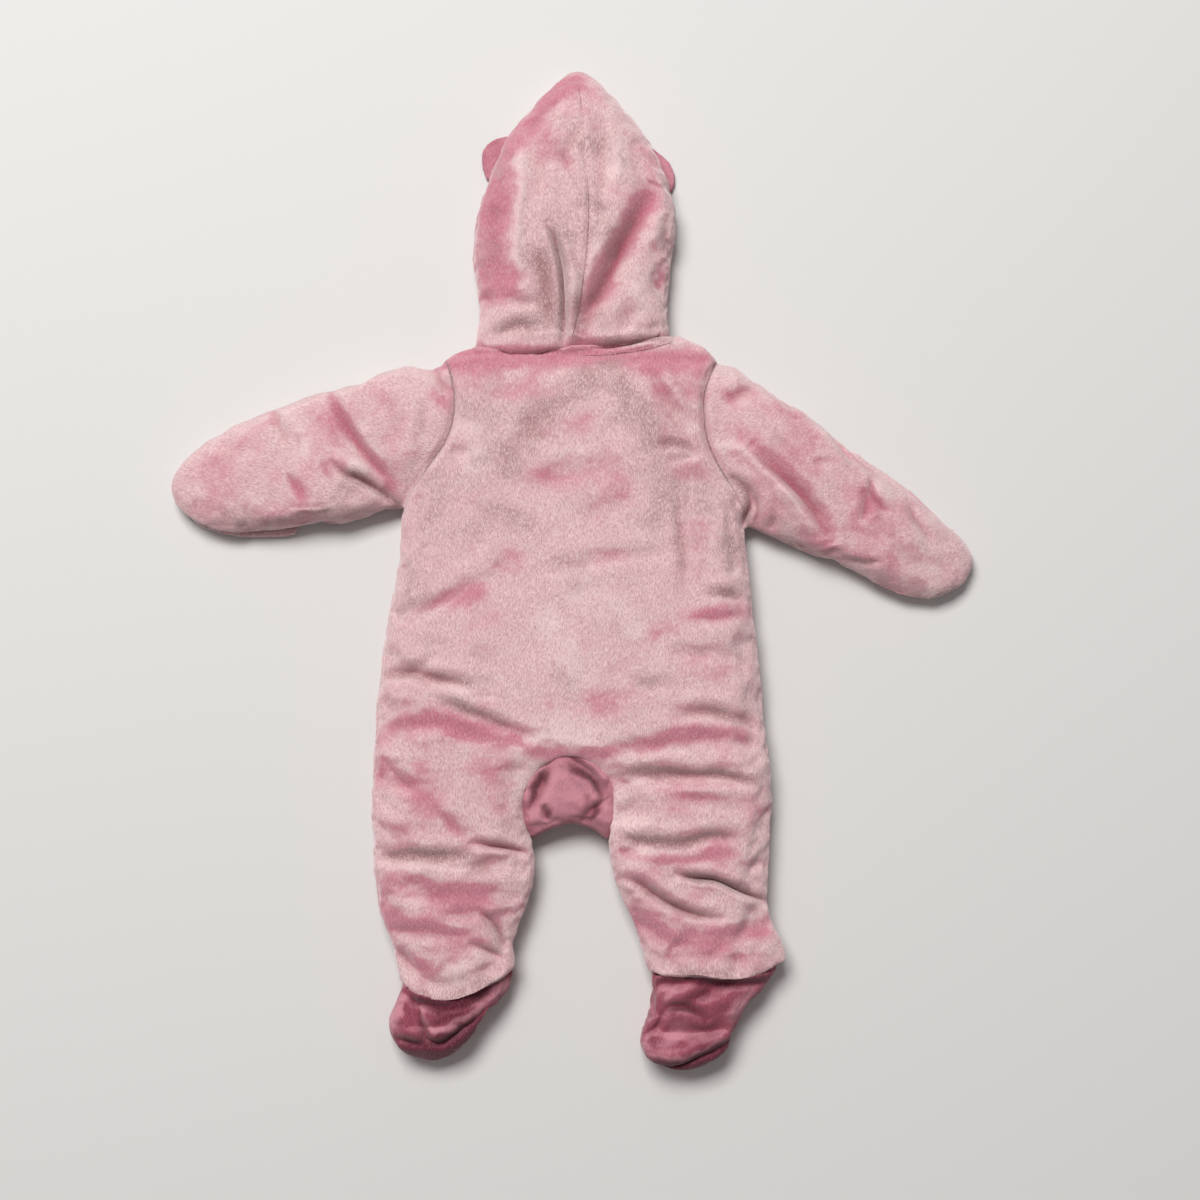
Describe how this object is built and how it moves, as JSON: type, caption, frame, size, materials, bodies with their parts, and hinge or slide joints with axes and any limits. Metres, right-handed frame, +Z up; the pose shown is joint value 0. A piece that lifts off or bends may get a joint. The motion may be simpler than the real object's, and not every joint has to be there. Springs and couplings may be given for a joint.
{
  "type": "baby bunting suit",
  "caption": "Padded hooded all-in-one for a baby with ears, fold-over mitts, legs and feet, laid flat on its front.",
  "frame": {"origin": "centre of the bounding box on the surface the suit lies on", "axes": "+Z up out of the suit's back, +Y along the suit towards the hood, +X to the wearer's right sleeve"},
  "size_m": [0.6392, 0.803, 0.0371],
  "materials": {
    "plush_rose": "short brushed plush, soft sheen",
    "plush_deep": "short brushed plush in a deeper rose",
    "zip_plastic": "satin"
  },
  "bodies": {
    "root": {"back": "plush_rose", "front_left": "plush_rose", "front_right": "plush_rose", "sleeve_left": "plush_rose", "sleeve_right": "plush_rose", "mitt_left": "plush_rose", "mitt_right": "plush_rose", "hood_left": "plush_rose", "hood_right": "plush_rose", "neck_band": "plush_rose", "ear_left": "plush_deep", "ear_right": "plush_deep", "gusset": "plush_deep", "foot_sole_left": "plush_deep", "foot_sole_right": "plush_deep", "foot_upper_left": "plush_deep", "foot_upper_right": "plush_deep", "zip": "zip_plastic", "zip_slider": "zip_plastic"}
  },
  "joints": []
}
